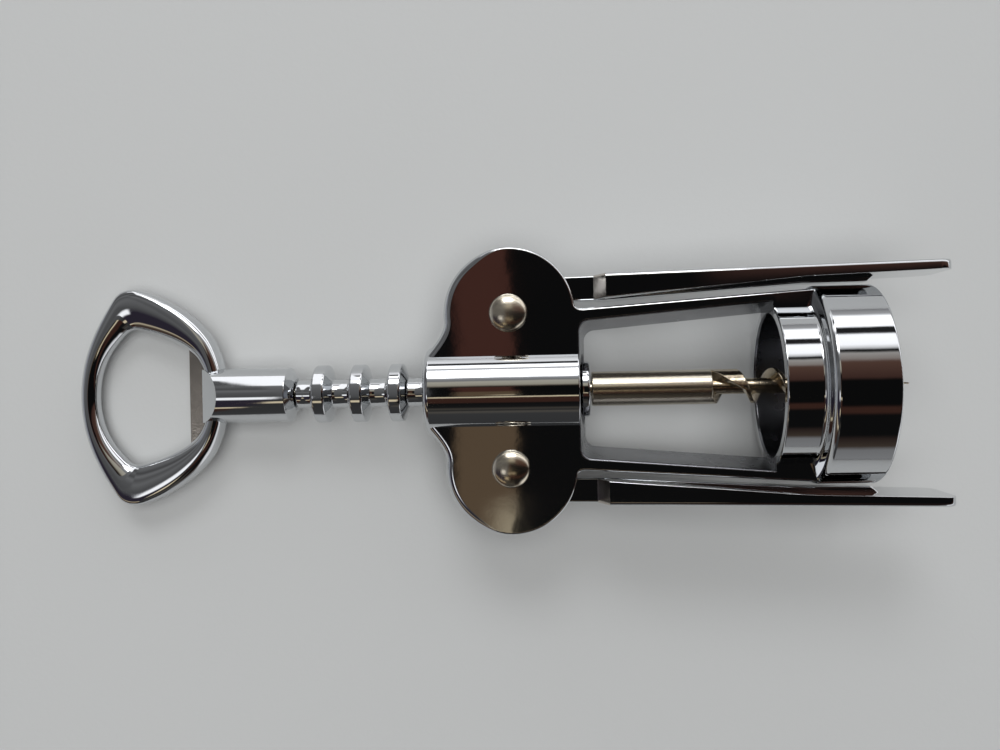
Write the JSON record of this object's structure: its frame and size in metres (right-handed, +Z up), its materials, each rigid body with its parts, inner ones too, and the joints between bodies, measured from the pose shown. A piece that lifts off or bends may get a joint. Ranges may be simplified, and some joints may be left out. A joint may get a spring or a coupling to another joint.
{
  "type": "lever corkscrew",
  "caption": "Lever corkscrew: toothed levers on rivets drive a ringed rack down through a legged bell frame, with a worm on a turning ring handle that lifts caps.",
  "frame": {"origin": "under the middle of the bounding box, on the table the corkscrew lies on", "axes": "+X toward the bell and the worm's tip, +Y toward the right lever, +Z up off the table; the corkscrew's own axis rises toward +X"},
  "size_m": [0.164, 0.0532, 0.0374],
  "materials": {
    "chromed_casting": "bright chrome plate over a tumbled zinc casting",
    "nickelled_steel": "nickel plate over drawn steel, a little warmer and duller than the chrome"
  },
  "bodies": {
    "frame": {"frame": "chromed_casting", "right_rivet": "nickelled_steel", "left_rivet": "nickelled_steel"},
    "rack": {"rack": "chromed_casting"},
    "handle": {"handle": "chromed_casting", "worm": "nickelled_steel"},
    "right_lever": {"right_lever": "chromed_casting"},
    "left_lever": {"left_lever": "chromed_casting"}
  },
  "joints": [
    {"name": "right_lever_swing", "type": "hinge", "parent": "frame", "child": "right_lever", "pos_m": [0.00268, 0.01435, 0.01216], "axis": [-0.1074, 0, 0.9942], "range_deg": [0, 123]},
    {"name": "left_lever_swing", "type": "hinge", "parent": "frame", "child": "left_lever", "pos_m": [0.00268, -0.01435, 0.01216], "axis": [-0.1074, 0, 0.9942], "range_deg": [-123, 0]},
    {"name": "rack_slide", "type": "slide", "parent": "frame", "child": "rack", "axis": [0.9942, 0, 0.1074], "range_m": [0, 0.022]},
    {"name": "handle_spin", "type": "hinge", "parent": "rack", "child": "handle", "pos_m": [-0.04703, 0, 0.00679], "axis": [0.9942, 0, 0.1074], "continuous": true}
  ],
  "couplings": [
    {"joint": "rack_slide", "follows": "right_lever_swing", "m_per_rad": 0.01024},
    {"joint": "left_lever_swing", "follows": "right_lever_swing", "ratio": -1}
  ]
}
